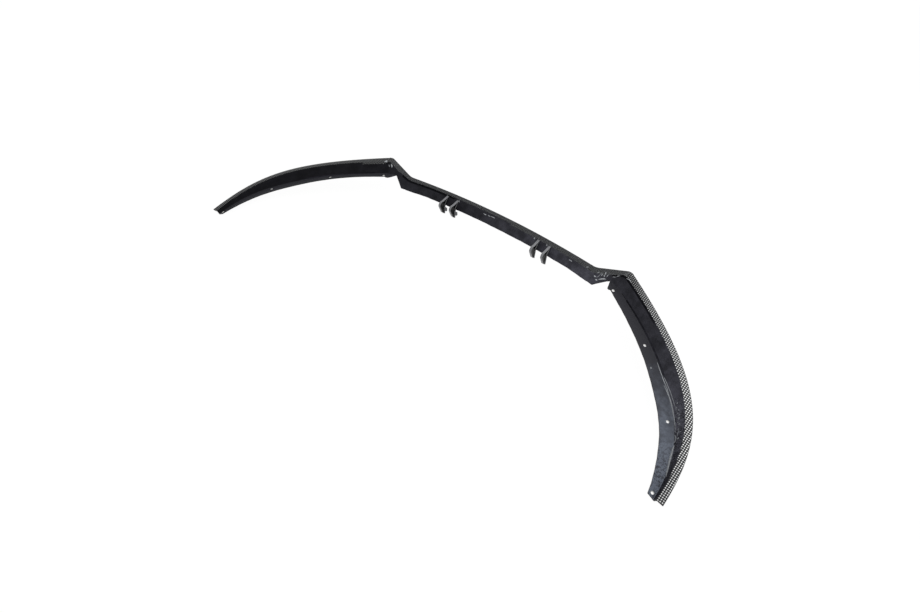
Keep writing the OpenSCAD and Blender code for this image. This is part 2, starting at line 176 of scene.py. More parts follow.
class SPLITTER_PG_finish(bpy.types.PropertyGroup):
    """Colours and pattern sizes of the laminate."""

    tow: length("Tow", "Width of one tow on the wings", 4.2)
    centre_tow: length("Centre tow", "Width of one tow on the centre section", 1.3)
    # Painted highlight: towards the right wing's rear the warp tows are painted this paler tone for
    # the lamp's glint
    warp: colour("Warp tow", "Tows that catch the light, at the right wing's rear", "#d8d9d8")
    front_warp: colour("Front warp tow", "Warp tows of the other wing parts", "#909192")
    centre_warp: colour("Centre warp tow", "Warp tows of the centre section", "#8f9193")
    weft: colour("Weft tow", "Tows that lie across the light", "#050506")
    # Painted highlight: the weft tows are painted this paler tone at the right wing's rear for the
    # lamp's glint
    painted_glint_weft: colour("Rear weft tow", "Weft tows at the right wing's rear", "#2a2a2c")
    wall: colour("Wall", "Bare laminate of the walls", "#0f0f11")
    # Pale tone of the walls: milky resin, and also painted light where its share follows the light
    # along the part
    wall_haze_and_light: colour("Wall haze", "Resin haze on the walls", "#52525c")
    # Painted shade: the black of the lines where shade falls under the ridge and in the crease
    painted_shade: colour("Dry line", "Resin-starved lines at ridge and crease", "#0e0e10")
    flange: colour("Flange", "Bag side of the flanges", "#333338")
    # Painted sheen: this pale bluish tone on the right flange's rear is milky resin and also the
    # lamp's sheen painted in
    flange_haze_and_sheen: colour("Flange haze", "Milky resin on the rear of the right flange", "#646b78")
    trim: colour("Trimmed edge", "Sanded edge of the laminate", "#2e2e30")
    # Painted highlight: the chamfer round each hole is painted near white for the bright spots seen
    # at the holes
    hole_highlight: colour("Drilled edge", "Whitened laminate round the holes", "#f4f4f1")
    # The resin's pale tone also paints glints: its spots at the left corner, the tabs' tops and the
    # right corner's ridge
    resin: colour("Resin", "Cured resin in ridges and drips", "#b8bcc0")
    rear_resin: colour("Rear resin", "Cured resin on the rear of the wings", "#808489")
    rim: colour("Tab rim", "Sanded rim of the hook tabs", "#9a9b9f")
    web: colour("Tab web", "Bare web of the hook tabs", "#0e0f10")


class SPLITTER_PG_stage(bpy.types.PropertyGroup):
    """Camera, lamps and floor."""

    azimuth: angle("Azimuth", "Direction of the view", 43)
    elevation: angle("Elevation", "Height of the view", 48)
    roll: angle("Roll", "Roll of the camera", 4)
    lens: number("Lens", "Focal length in millimetres", 23.48)
    place: spot("Camera place", "Place of the camera", (0.9595, -0.9818, 1.3682))
    fill: number("Fill", "Strength of the even light from all round", 0.55)
    box_power: FloatProperty(
        name="Soft box", description="Power of the soft box", default=18, unit="POWER")
    box_place: spot("Soft box place", "Place of the soft box", (0.95, 1.25, 1.75))
    box_aim: spot("Soft box aim", "Point that the soft box faces", (0.75, 0, 0.05))
    box_size: length("Soft box size", "Side of the square soft box", 1700)


def settings(name):
    """One of the settings groups of this scene."""
    return getattr(bpy.context.scene, "splitter_" + name)


def ease(t):
    """Smooth start and stop between 0 and 1."""
    return (1 - np.cos(pi * np.clip(t, 0, 1))) / 2


def lerp(a, b, t):
    """The point between a and b at share t."""
    return a + (b - a) * t


def quadratic(a, b, c, t):
    """A point on the quadratic curve with the three given poles."""
    return (1 - t) ** 2 * a + 2 * t * (1 - t) * b + t * t * c


def cubic(p, t):
    """A point on the cubic curve with the four given poles."""
    return lerp(quadratic(*p[:3], t), quadratic(*p[1:], t), t)


def cubic_slope(p, t):
    """A third of the derivative of the cubic curve."""
    return quadratic(p[1] - p[0], p[2] - p[1], p[3] - p[2], t)


class Station:
    """One section of the sweep: its outer edge point, turn, profile and place along the edge."""

    def __init__(self, x, y, z, turn, profile, along, wing=False):
        self.x, self.y, self.z, self.turn = x, y, z, turn
        self.profile, self.along, self.wing = profile, along, wing

    def mirrored(self):
        """The matching station on the other half."""
        return Station(-self.x, self.y, self.z, -self.turn, self.profile, -self.along, self.wing)

    def place(self, inboard, up):
        """A section point in space."""
        x, y = self.x - inboard * sin(self.turn), self.y - inboard * cos(self.turn)
        return np.array([x, y, self.z + up])


class Outline:
    """The path of the outer edge on the +X side: bow, bend, diagonal, rounded corner and wing."""

    # Where a change of shape starts or peaks, as a share of the bow, the diagonal or the wing
    CENTRE_PLAIN = 0.76
    FAN_START = 0.1
    WING_FAN = 0.1
    WING_WIDEST = 0.48
    SLANT_START = 0.8
    # Powers of the curves on which a profile changes
    NOTCH_BUILD = 2
    NOTCH_FADE = 1.6
    WALL_BUILD = 3
    FLANGE_BUILD = 1.5
    FLANGE_FADE = 3
    # Share of a straight face that counts as wall, and not as flange
    FACE_SPLIT = 0.6
    # Samples that measure the wing, then stations on bow, bend, diagonal, corner and wing
    SAMPLES = 240
    STEPS = (70, 8, 30, 12, 200)

    def __init__(self):
        self.o, self.s = settings("outline"), settings("section")
        o = self.o
        self.front_y = o.lip_depth / 2
        self.bend = np.array([o.bend_w / 2, self.front_y - o.bend_setback])
        self.corner = np.array([o.corner_w / 2, self.front_y - o.corner_setback])
        self.diagonal = np.linalg.norm(self.corner - self.bend)
        onward = (self.corner - self.bend) / self.diagonal
        self.bend_end = self.bend + o.bend_round * onward
        self.corner_start = self.corner - o.corner_round * onward
        self.bow_share = 1 - o.bend_round / self.bend[0]
        notch_x = self.corner[0] - settings("cuts").notch_in
        self.notch_share = (notch_x - self.bend[0]) / (self.corner - self.bend)[0]
        heading = np.array([cos(o.wing_heading), -sin(o.wing_heading)])
        start = self.corner + o.corner_round * heading
        end = np.array([o.lip_w / 2, -self.front_y])
        reach_front, reach_end = o.wing_reach_front * heading, [0, o.wing_reach_end]
        self.curve = [start, start + reach_front, end + reach_end, end]
        self.shares = np.linspace(0, 1, self.SAMPLES + 1)
        path = np.array([cubic(self.curve, t) for t in self.shares])
        steps = np.linalg.norm(np.diff(path, axis=0), axis=1)
        self.runs = np.concatenate([[0], np.cumsum(steps)])
        self.wing_length = self.runs[-1]
        self.corner_path = self.bend[0] + self.diagonal
        self.fan_before = (1 - self.FAN_START) * self.diagonal + o.corner_round
        self.fan_length = self.fan_before + self.WING_FAN * self.wing_length
        self.fan_turn = self.wing_turn(self.WING_FAN * self.wing_length)
        self.profiles()
        self.end_z = -min(height for _, height in section(self.end)[LOWER_START:])

    def face(self, blade, fall, run, drop):
        """A profile whose wall and last stretch are one straight, sloping face."""
        near, far = self.FACE_SPLIT, 1 - self.FACE_SPLIT
        return np.array([blade, fall, run * near, drop * near, run * far, -drop * far])

    def profiles(self):
        """Each profile is blade, blade fall, wall run, wall drop, flange, flange rise."""
        sizes = {key: [getattr(self.s, f"{key}_{part}") for part in MEASURES
                       if hasattr(self.s, f"{key}_{part}")] for key in PLACES}
        self.centre, self.bend_face = self.face(*sizes["centre"]), self.face(*sizes["bend"])
        self.notch = np.array([*sizes["notch"], self.s.front_flange, 0])
        self.front, self.mid, self.end = (np.array(sizes[key]) for key in ("front", "mid", "end"))

    def bow(self, t):
        """A point of the bow, its height and its profile."""
        o = self.o
        late = ease((t - self.CENTRE_PLAIN) / (1 - self.CENTRE_PLAIN))
        point = np.array([t * self.bend[0], self.front_y - o.bend_setback * t * t])
        return point, lerp(o.centre_z, o.bend_z, t * t), lerp(self.centre, self.bend_face, late)

    def diagonal_share(self, x):
        """How far along the diagonal a place across the car lies."""
        return (x - self.bend[0]) / (self.corner_start[0] - self.bend[0])

    def diagonal_z(self, x):
        """Height of the outer edge on the diagonal."""
        return lerp(self.o.bend_z, self.o.corner_z, self.diagonal_share(x))

    def diagonal_profile(self, x):
        """A growing face, then the pocket's end wall, then the corner's wall."""
        s, t = self.s, self.diagonal_share(x)
        if t >= self.notch_share:
            late = (t - self.notch_share) / (1 - self.notch_share)
            return lerp(self.notch, self.front, late ** self.NOTCH_FADE)
        run = s.bend_run + s.face_spread * (x - self.bend[0])
        drop = s.bend_drop + self.diagonal_z(x) - self.o.bend_z
        growing = self.face(s.bend_blade, s.bend_fall, run, drop)
        return lerp(growing, self.notch, (t / self.notch_share) ** self.NOTCH_BUILD)

    def wing_share(self, along):
        """The curve's own share at a distance along the wing."""
        return np.interp(along, self.runs, self.shares)

    def wing_turn(self, along):
        """The heading of the wing at a distance along it."""
        slope = cubic_slope(self.curve, self.wing_share(along))
        return np.arctan2(-slope[1], slope[0])

    def wing_profile(self, share):
        """The wing's profile at a share of its length."""
        if share < self.WING_WIDEST:
            near = share / self.WING_WIDEST
            p = lerp(self.front, self.mid, 1 - (1 - near) ** self.WALL_BUILD)
            p[4] = lerp(self.front[4], self.mid[4], 1 - (1 - near) ** self.FLANGE_BUILD)
        else:
            far = (share - self.WING_WIDEST) / (1 - self.WING_WIDEST)
            p = lerp(self.mid, self.end, ease(far))
            p[4] = lerp(self.mid[4], self.end[4], far ** self.FLANGE_FADE)
        return p

    def wing_station(self, along):
        """A station on the wing."""
        o = self.o
        x, y = cubic(self.curve, self.wing_share(along))
        share = along / self.wing_length
        slant = o.end_slant * ease((share - self.SLANT_START) / (1 - self.SLANT_START))
        turn = self.wing_turn(along) + slant
        if share < self.WING_FAN:
            turn = self.fan_turn * ease((self.fan_before + along) / self.fan_length)
        down = (self.corner[1] - y) / (self.corner[1] + self.front_y)
        z = lerp(o.corner_z, self.end_z, down) - o.wing_sag * sin(pi * min(1, max(0, down)))
        path = self.corner_path + o.corner_round + along
        return Station(x, y, z, turn, self.wing_profile(share), path, True)

    def half(self):
        """The stations of one half, from the middle to the wing end."""
        o, made = self.o, []
        bow, bend, diagonal, corner, wing = self.STEPS
        for t in np.arange(bow) * self.bow_share / bow:
            (x, y), z, profile = self.bow(t)
            made.append(Station(x, y, z, 0, profile, t * self.bend[0]))
        start, start_z, _ = self.bow(self.bow_share)
        end_z = self.diagonal_z(self.bend_end[0])
        for t in np.arange(bend) / bend:
            x, y = quadratic(start, self.bend, self.bend_end, t)
            z = quadratic(start_z, o.bend_z, end_z, t)
            before = x < self.bend[0]
            profile = self.bow(x / self.bend[0])[2] if before else self.diagonal_profile(x)
            made.append(Station(x, y, z, 0, profile, self.bend[0] + (2 * t - 1) * o.bend_round))
        for t in np.arange(diagonal) / diagonal:
            x, y = lerp(self.bend_end, self.corner_start, t)
            run = np.hypot(x - self.bend[0], y - self.bend[1])
            turn = self.fan_turn * ease((run - self.FAN_START * self.diagonal) / self.fan_length)
            made.append(Station(x, y, self.diagonal_z(x), turn, self.diagonal_profile(x),
                                self.bend[0] + run, run > self.notch_share * self.diagonal))
        for t in np.arange(corner) / corner:
            x, y = quadratic(self.corner_start, self.corner, self.curve[0], t)
            fan = self.fan_before - 2 * (1 - t) * o.corner_round
            path = self.corner_path + (2 * t - 1) * o.corner_round
            turn = self.fan_turn * ease(fan / self.fan_length)
            made.append(Station(x, y, o.corner_z, turn, self.front, path, True))
        return made + [self.wing_station(self.wing_length * i / wing) for i in range(wing + 1)]

    def stations(self):
        """All the stations, from the left wing end to the right one."""
        half = self.half()
        return [s.mirrored() for s in reversed(half[1:])] + half


def surface(stations, path, inboard):
    """A point of the skin's upper side, at a distance along the outer edge and inboard of it."""
    alongs = [s.along for s in stations]
    after = min(max(int(np.searchsorted(alongs, path)), 1), len(stations) - 1)
    near, far = stations[after - 1], stations[after]
    ends = []
    for s in (near, far):
        line = np.array(section(s.profile)[NOSE_STEPS:FLANGE_END + 1])
        ends.append(s.place(inboard, np.interp(inboard, line[:, 0], line[:, 1])))
    return lerp(ends[0], ends[1], (path - near.along) / (far.along - near.along))


def skin_axes(stations, path, inboard, reach=MM):
    """A point of the skin, and its directions along the edge, inboard and outward."""
    along = surface(stations, path + reach, inboard) - surface(stations, path - reach, inboard)
    across = surface(stations, path, inboard + reach) - surface(stations, path, inboard - reach)
    up = np.cross(along, across)
    axes = [axis / np.linalg.norm(axis) for axis in (along, across, up * np.sign(up[2]))]
    return surface(stations, path, inboard), *axes


# Faces in each stretch of the section, and the places where the stretches start and end
NOSE_STEPS = 8
BLADE_STEPS = 5
WALL_STEPS = 7
CREASE_STEPS = 6
FLANGE_STEPS = 6
UNDER_STEPS = 5
WALL_START = NOSE_STEPS + BLADE_STEPS + 1
CREASE_START = WALL_START + WALL_STEPS
CREASE_MID = CREASE_START + CREASE_STEPS // 2
FLANGE_END = CREASE_START + CREASE_STEPS + FLANGE_STEPS
LOWER_START = FLANGE_END + 1
# Shares of a stretch: how far the crease is rounded, how round the nose is, and where the
# underside turns from the wall and the blade
CREASE_SOFT = 0.16
NOSE_ROUND = 0.45
UNDER_WALL = 0.12
UNDER_BLADE = 0.8
BLADE_CROWN = 0.3 * MM
CLOSING = 4 * MM
# Places along the outer edge, in metres and negative on the left: the dark line of painted shade in
# the crease on both wings, where it is thin, the dark lines of painted shade under the ridge, and
# where gloss cloth laps the wall, which on the left paints a soft sheen under the ridge
CREASE_SHADE = (0.53, 0.86)
CREASE_TAPER = 0.03
RIDGE_SHADE = (0.45, 0.68)
LEFT_RIDGE_SHADE = (-0.42, -0.19)
# On the left, the lapped gloss cloth paints a soft sheen under the ridge: a painted sheen
LAPPED_SKIN_AND_SHEEN = ((-0.61, -0.52), (0.05, 0.43))


def stretch(a, b, steps, bulge=0.0):
    """Points after a, up to b, with a slight upward bulge."""
    shares = np.arange(1, steps + 1) / steps
    return [lerp(a, b, t) + np.array([0, bulge * sin(pi * t)]) for t in shares]


def rounded(a, b, through, steps):
    """Points after a, up to b, on a curve whose middle is the given point."""
    shares = np.arange(1, steps + 1) / steps
    return [quadratic(a, 2 * through - (a + b) / 2, b, t) for t in shares]


def section(p):
    """The closed section as distances inboard and heights, from the nose round to its underside."""
    s = settings("section")
    nose = s.nose_t
    nose_start = np.array([nose * NOSE_ROUND, -nose])
    ridge = np.array([p[0], -p[1]])
    top = ridge + [s.ridge_step * 0.5, -s.ridge_step]
    crease = np.array([p[0] + p[2], -p[1] - p[3]])
    edge = crease + [p[4], p[5]]
    wall_end = lerp(crease, top, CREASE_SOFT)
    flange_start = lerp(crease, edge, CREASE_SOFT)
    angles = np.linspace(-pi / 2, pi / 2, NOSE_STEPS + 1)
    points = [nose * np.array([NOSE_ROUND * (1 - cos(a)), sin(a) / 2 - 0.5]) for a in angles]
    points += stretch(nose_start + [0, nose], ridge, BLADE_STEPS, BLADE_CROWN)
    points.append(top)
    points += stretch(top, wall_end, WALL_STEPS, -s.wall_hollow * (wall_end[0] - top[0]))
    bottom = crease * 0.5 + (wall_end + flange_start) * 0.25
    points += rounded(wall_end, flange_start, bottom, CREASE_STEPS)
    points += stretch(flange_start, edge, FLANGE_STEPS)
    wall_dir = (crease - ridge) / np.linalg.norm(crease - ridge)
    flange_dir = (edge - crease) / np.linalg.norm(edge - crease)
    wall_n = s.skin_t * np.array([wall_dir[1], -wall_dir[0]])
    flange_n = s.skin_t * np.array([flange_dir[1], -flange_dir[0]])
    mid_n = (wall_n + flange_n) / (1 + wall_dir @ flange_dir)
    under_flange = flange_start + flange_n
    under_wall = lerp(crease, ridge, CREASE_SOFT) + wall_n
    under_ridge = lerp(ridge, crease, UNDER_WALL) + wall_n + [0, -s.ridge_step]
    under_blade = ridge * UNDER_BLADE + [0, -nose]
    points.append(edge + flange_n)
    points += stretch(edge + flange_n, under_flange, UNDER_STEPS)
    points += rounded(under_flange, under_wall, crease + mid_n, CREASE_STEPS)
    points += stretch(under_wall, under_ridge, UNDER_STEPS)
    points += stretch(under_ridge, under_blade, 3)
    points += stretch(under_blade, nose_start, 4)[:-1]
    return points


def waver(along):
    """A slow, repeatable wander between -1 and 1 along the part, for hand-trimmed edges."""
    waves = ((0.21, 0.4), (0.083, 2.1), (0.037, 4.4))
    return sum(sin(2 * pi * along / period + shift) for period, shift in waves) / len(waves)


def new_object(name, data):
    """An object for a mesh, a lamp or a camera, in the scene."""
    made = bpy.data.objects.new(name, data)
    bpy.context.scene.collection.objects.link(made)
    return made


# The last zone is painted shade: black lines under the ridge and in the crease
GLOSSY, WALL, FLANGE, TRIMMED, PAINTED_SHADE = range(5)


def zone(station, j):
    """The material of one face of the sweep: j counts round the section from the nose's foot."""
    along, wing = station.along, station.wing
    if j < WALL_START - 1 or j >= LOWER_START:
        return GLOSSY
    # Gloss cloth on the wall's top; on the left it paints a soft sheen under the ridge
    if j <= WALL_START and any(start < along < end for start, end in LAPPED_SKIN_AND_SHEEN):
        return GLOSSY
    # Painted shade: black lines under the ridge and in the crease, where shade falls
    if j <= WALL_START and RIDGE_SHADE[0] < along < RIDGE_SHADE[1]:
        return PAINTED_SHADE
    if j <= WALL_START + 1 and LEFT_RIDGE_SHADE[0] < along < LEFT_RIDGE_SHADE[1]:
        return PAINTED_SHADE
    inside = min(abs(along) - CREASE_SHADE[0], CREASE_SHADE[1] - abs(along))
    if wing and inside > 0 and abs(j - CREASE_MID + 1) <= (inside > CREASE_TAPER):
        return PAINTED_SHADE
    if j < CREASE_MID or (not wing and j < FLANGE_END):
        return WALL
    return FLANGE if j < FLANGE_END else TRIMMED


def swept_mesh(stations, materials):
    """The whole skin as one mesh of quads with a flat cap at each end.

    The map Weave holds real distances along and round the skin. The map Cloth is the skin
    unrolled into the plan from its outer edge, as the cloth was before it was laid and folded.
    """
    rings, maps = [], []
    for s in stations:
        points = section(s.profile)
        inward = points[FLANGE_END] - points[FLANGE_END - FLANGE_STEPS]
        inward *= settings("section").trim_waver * waver(s.along) / np.linalg.norm(inward)
        points[FLANGE_END] = points[FLANGE_END] + inward
        points[LOWER_START] = points[LOWER_START] + inward
        rings += [tuple(s.place(*q)) for q in points]
        steps = np.linalg.norm(np.diff(np.array(points), axis=0), axis=1)
        reach = np.concatenate([[0], np.cumsum(steps)])
        girth = reach[-1] + CLOSING
        for j, v in enumerate(reach):
            unrolled = v - reach[NOSE_STEPS] - (girth if j >= LOWER_START else 0)
            maps.append((s.along, v, girth, s.place(unrolled, 0)[:2]))
    n, count = len(points), len(stations)
    quads = [[i * n + j, (i + 1) * n + j, (i + 1) * n + (j + 1) % n, i * n + (j + 1) % n]
             for i in range(count - 1) for j in range(n)]
    caps = [list(range(n)), [(count - 1) * n + j for j in reversed(range(n))]]
    mesh = bpy.data.meshes.new("lip_skin")
    mesh.from_pydata(rings, [], quads + caps)
    for material in materials:
        mesh.materials.append(material)
    zones = [zone(stations[i], j) for i in range(count - 1) for j in range(n)]
    mesh.polygons.foreach_set("material_index", zones + [TRIMMED, TRIMMED])
    for name in ("Weave", "Cloth"):
        mesh.uv_layers.new(name=name)
    weave_map, cloth_map = (mesh.uv_layers[name].data for name in ("Weave", "Cloth"))
    for face in mesh.polygons:
        closing = face.index < len(quads) and face.index % n == n - 1
        for loop in face.loop_indices:
            vertex = mesh.loops[loop].vertex_index
            along, v, girth, plan = maps[vertex]
            weave_map[loop].uv = (along, girth if closing and vertex % n == 0 else v)
            cloth_map[loop].uv = plan
    return mesh


HOLE_SIDES = 32


def cutters(outline, materials):
    """One mesh of the notches, which leave the first material, and the holes, the second."""
    o, s, c = settings("outline"), settings("section"), settings("cuts")
    made = bmesh.new()
    low, high = -10 * MM, o.corner_z + 20 * MM
    reach = 2 * (s.front_run + s.front_flange + s.front_blade)
    apex = Vector((*(outline.corner - [c.notch_in, c.notch_back]), 0))
    notch = [
        apex,
        apex + reach * Vector((sin(c.notch_wing_angle), -cos(c.notch_wing_angle), 0)),
        apex + reach * Vector((-sin(c.notch_centre_angle), -cos(c.notch_centre_angle), 0)),
    ]
    outlines = [[(notch, low), (notch, high)]]
    stations, turns = outline.stations(), np.linspace(0, 2 * pi, HOLE_SIDES, endpoint=False)
    narrow, wide = c.hole_d / 2, c.hole_d / 2 + 2 * c.deburr
    for along, inboard in ((c.hole_1_along, c.hole_1_in), (c.hole_2_along, c.hole_2_in),
                           (c.hole_3_along, c.hole_3_in),
                           (outline.wing_length - c.hole_4_ahead, c.hole_4_in)):
        st = outline.wing_station(along)
        p = st.profile
        inside = p[0] + p[2] + inboard
        x, y, z = st.place(inside, p[5] * inboard / p[4] - p[1] - p[3])
        *_, (nx, ny, nz) = skin_axes(stations, st.along, inside, 3 * MM)
        spokes = [Vector((cos(a), sin(a), -(nx * cos(a) + ny * sin(a)) / nz)) for a in turns]
        rim = [(narrow, low), (narrow, z - c.deburr), (wide, z + c.deburr), (wide, high)]
        outlines.append([([Vector((x, y, 0)) + r * q for q in spokes], up) for r, up in rim])
    for side in (1, -1):
        for number, levels in enumerate(outlines):
            rings = [[made.verts.new((side * q.x, q.y, q.z + up)) for q in points]
                     for points, up in levels]
            faces = [made.faces.new((below[j - 1], below[j], above[j], above[j - 1]))
                     for below, above in zip(rings, rings[1:]) for j in range(len(below))]
            for face in [*faces, made.faces.new(rings[0]), made.faces.new(rings[-1])]:
                face.material_index = min(number, 1)
    return mesh_of(made, "cutters", materials)


def mesh_of(made, name, materials):
    """The finished mesh of a bmesh of closed forms, with its materials."""
    bmesh.ops.recalc_face_normals(made, faces=made.faces)
    mesh = bpy.data.meshes.new(name)
    made.to_mesh(mesh)
    made.free()
    for material in materials:
        mesh.materials.append(material)
    return mesh


def cut(target, cutter_mesh):
    """Takes the cutter out of the target's mesh."""
    cutter = new_object("cutter", cutter_mesh)
    step = target.modifiers.new("cut", "BOOLEAN")
    step.operation = "DIFFERENCE"
    step.solver = "EXACT"
    step.material_mode = "TRANSFER"
    step.object = cutter
    graph = bpy.context.evaluated_depsgraph_get()
    done = bpy.data.meshes.new_from_object(target.evaluated_get(graph))
    target.modifiers.clear()
    target.data = done
    bpy.data.objects.remove(cutter)


# Ridges of resin left by folds of the vacuum bag: points along the outer edge and inboard of it,
# then the width, all in millimetres. The last one, on the right corner's ridge, is a pale bead that
# paints the ridge's highlight: a painted highlight
RESIN_RIDGES_AND_HIGHLIGHT = [
    ([(788, 52), (814, 52.8), (846, 51.6), (873, 48.6), (899, 46.4)], 2.4),
    ([(835, 48), (862, 45.5), (886, 43), (905, 41.4), (930, 38.6), (950, 35.4)], 2.1),
    ([(862, 54), (881, 50.8), (900, 47.6), (923, 45.2), (948, 43.4), (974, 40.8), (1013, 36.6)],
     3.4),
    ([(1019, 37.5), (1027, 34.4), (1036, 33.6), (1046, 36.5)], 3.0),
    ([(1050, 34.4), (1062, 35), (1080, 34.4), (1101, 33.2), (1122, 30.4), (1146, 26.6)], 6.0),
    ([(1006, 30), (1016, 32.2), (1023, 31.6)], 2.6),
    ([(406, 27), (410, 22.5), (412, 18.5), (416, 13.6)], 4.0),
    ([(414, 31.6), (421, 29.6), (428, 28.4), (438, 28.8)], 5.0),
    # Painted highlight: a pale bead for the highlight on the ridge at the right corner
    ([(503, 24.4), (510, 22.2), (517, 20.4), (526, 19.8)], 2.6),
]
# Drips and pooled spots of resin: place along the outer edge, negative on the left, place
# inboard, then length, width and turn in degrees. The spots at -515 and -483 on the left corner and
# the last four, at the tabs' tops, are pale resin that paints glints: painted highlights
RESIN_DRIPS_AND_GLINTS = [
    (926, 33, 5, 3, 20), (938, 35, 3.6, 2.6, 0), (947, 31.4, 5.4, 3.6, 120), (956, 33.6, 4, 3, 60),
    (962, 30.8, 4.4, 3, 0), (971, 31.6, 8, 5, 30), (983, 33.4, 4, 3, 150), (989, 30.4, 5, 4, 60),
    (1003, 31.6, 4, 3, 20), (1012, 27.6, 4.6, 3, 110), (809, 77, 6, 4, 0), (1031, 29.6, 7, 4, 50),
    (399, 24.4, 9, 4, 20), (418, 19.2, 9, 3.4, 100), (427, 17, 11, 4, 75), (427, 22, 8, 3.6, 40),
    (437, 21.8, 9, 4, 110), (403, 14.8, 9, 2.6, 150), (409, 33.4, 9, 4, 20),
    (301, 15.4, 13, 2.6, 5), (363, 12, 9, 2.2, 150), (460, 24.6, 12, 2.2, 8),
    (472, 23.4, 10, 2.6, -8), (-515, 20, 12, 9, 20), (-483, 26.5, 11, 10, 70),
    (-498, 30, 9, 3, 60), (-53, 14.8, 13, 3, 0), (-36, 14, 11, 2.4, 4), (-20, 13.2, 17, 2.6, 0),
    # Painted glints: pale spots at the tabs' tops
    (-218, 13, 8, 7, 60), (-168, 12.6, 7, 5, 60), (153, 12.8, 6, 4, 60), (204, 13, 6, 4, 60),
]
# Heights of the resin marks as shares of their half width and of their width, and a ridge's faces
RIDGE_HEIGHT = 0.45
DRIP_HEIGHT = 0.22
RIDGE_SIDES = 10
RIDGE_FACE = 2 * MM


def resin_ridge(made, stations, points, width):
    """A flattened bead along a line on the skin, half sunk in it and tapered to its ends."""
    paths, insides = np.array(points, float).T * MM
    steps = max(8, int((paths[-1] - paths[0]) / RIDGE_FACE))
    angles = np.linspace(0, 2 * pi, RIDGE_SIDES, endpoint=False)
    rings = []
    for i, path in enumerate(np.linspace(paths[0], paths[-1], steps + 1)):
        point, _, across, up = skin_axes(stations, path, np.interp(path, paths, insides))
        # Blunt at both ends and widest a little before the middle
        taper = 0.15 + 0.85 * sin(pi * (i / steps) ** 0.8) ** 0.7
        half = width * MM / 2 * taper * (1 + 0.2 * waver(path * 6))
        rings.append([made.verts.new(point + half * (cos(a) * across + RIDGE_HEIGHT * sin(a) * up))
                      for a in angles])
    for low, high in zip(rings, rings[1:]):
        for j in range(len(angles)):
            made.faces.new((low[j - 1], low[j], high[j], high[j - 1]))
    made.faces.new(rings[0])
    made.faces.new(rings[-1])


def resin_drip(made, stations, path, inboard, long, wide, turn):
    """A flat, uneven dome of resin on the skin."""
    point, along, across, up = skin_axes(stations, path * MM, inboard * MM)
    c, s = cos(radians(turn)), sin(radians(turn))
    long_way, wide_way = c * along + s * across, c * across - s * along
    ball = bmesh.ops.create_uvsphere(made, u_segments=14, v_segments=8, radius=MM)["verts"]
    for vertex in ball:
        x, y, z = vertex.co
        around = np.arctan2(y, x)
        uneven = 1 + 0.18 * sin(3 * around + path) + 0.1 * sin(5 * around + inboard)
        flat = (x * long / 2 * long_way + y * wide / 2 * wide_way) * uneven
        vertex.co = point + flat + z * DRIP_HEIGHT * wide * up


def add(tree, kind, inputs=(), **options):
    """Adds a shader node, sets its options, and sets its inputs or links them to other nodes."""
    made = tree.nodes.new("ShaderNode" + kind)
    for name, value in options.items():
        setattr(made, name, value)
    for name, value in dict(inputs).items():
        if isinstance(value, bpy.types.Node):
            value = next(socket for socket in value.outputs if socket.enabled)
        if isinstance(value, bpy.types.NodeSocket):
            tree.links.new(value, made.inputs[name])
        elif getattr(made.inputs[name], "type", "") == "RGBA":
            made.inputs[name].default_value = (*value[:3], 1)
        else:
            made.inputs[name].default_value = value
    return made


def new_material(name):
    """An empty node material and its tree."""
    made = bpy.data.materials.new(name)
    made.use_nodes = True
    made.node_tree.nodes.clear()
    return made, made.node_tree


def finish_material(made, tone, roughness, shine, bump, depth, more=()):
    """Ends a material with a principled shader, with a bump of a real depth."""
    tree = made.node_tree
    raised = add(tree, "Bump", {"Height": bump, "Distance": depth, "Strength": 1.0})
    shader = add(tree, "BsdfPrincipled", {
        "Base Color": tone, "Roughness": roughness, "Specular IOR Level": shine,
        "Normal": raised, **dict(more)})
    add(tree, "OutputMaterial", {"Surface": shader})
    return made


def path_along(tree):
    """The distance along the outer edge, negative on the left."""
    return add(tree, "SeparateXYZ", {0: add(tree, "UVMap", uv_map="Weave")}).outputs["X"]


def weave(tree, tow):
    """A plain weave at 45 degrees to the car: where warp is on top, and how round each tow is."""
    cloth = add(tree, "UVMap", uv_map="Cloth")
    turned = add(tree, "Mapping", {"Vector": cloth, "Rotation": (0, 0, radians(45))})
    parts = add(tree, "SeparateXYZ", {0: turned})
    cells, crowns = [], []
    for way in ("X", "Y"):
        count = add(tree, "Math", {0: parts.outputs[way], 1: tow}, operation="DIVIDE")
        cells.append(add(tree, "Math", {0: count}, operation="FLOOR"))
        rest = add(tree, "Math", {0: count}, operation="FRACT")
        off = add(tree, "Math", {0: rest, 1: 0.5}, operation="SUBTRACT")
        square = add(tree, "Math", {0: off, 1: off}, operation="MULTIPLY")
        crown = add(tree, "Math", {0: square, 1: -4.0, 2: 1.0}, operation="MULTIPLY_ADD")
        crowns.append(crown)
    steps = add(tree, "Math", {0: cells[0], 1: cells[1]}, operation="ADD")
    turn = add(tree, "Math", {0: steps, 1: 2.0}, operation="FLOORED_MODULO")
    on_top = add(tree, "Math", {0: turn, 1: 0.5}, operation="LESS_THAN")
    return on_top, add(tree, "Math", {0: crowns[0], 1: crowns[1]}, operation="MULTIPLY")


# The real cloth has tows of about 2 mm, too fine to show, so the wings' weave is drawn twice as
# coarse. One set of tows glints and the other stays black, as carbon fibres do under a lamp.
# The glint grows between these places along the right wing: both sets of tows are painted paler
# towards the rear, a painted highlight of the lamp's glint there.
PAINTED_REAR_GLINT = (0.52, 1.08)


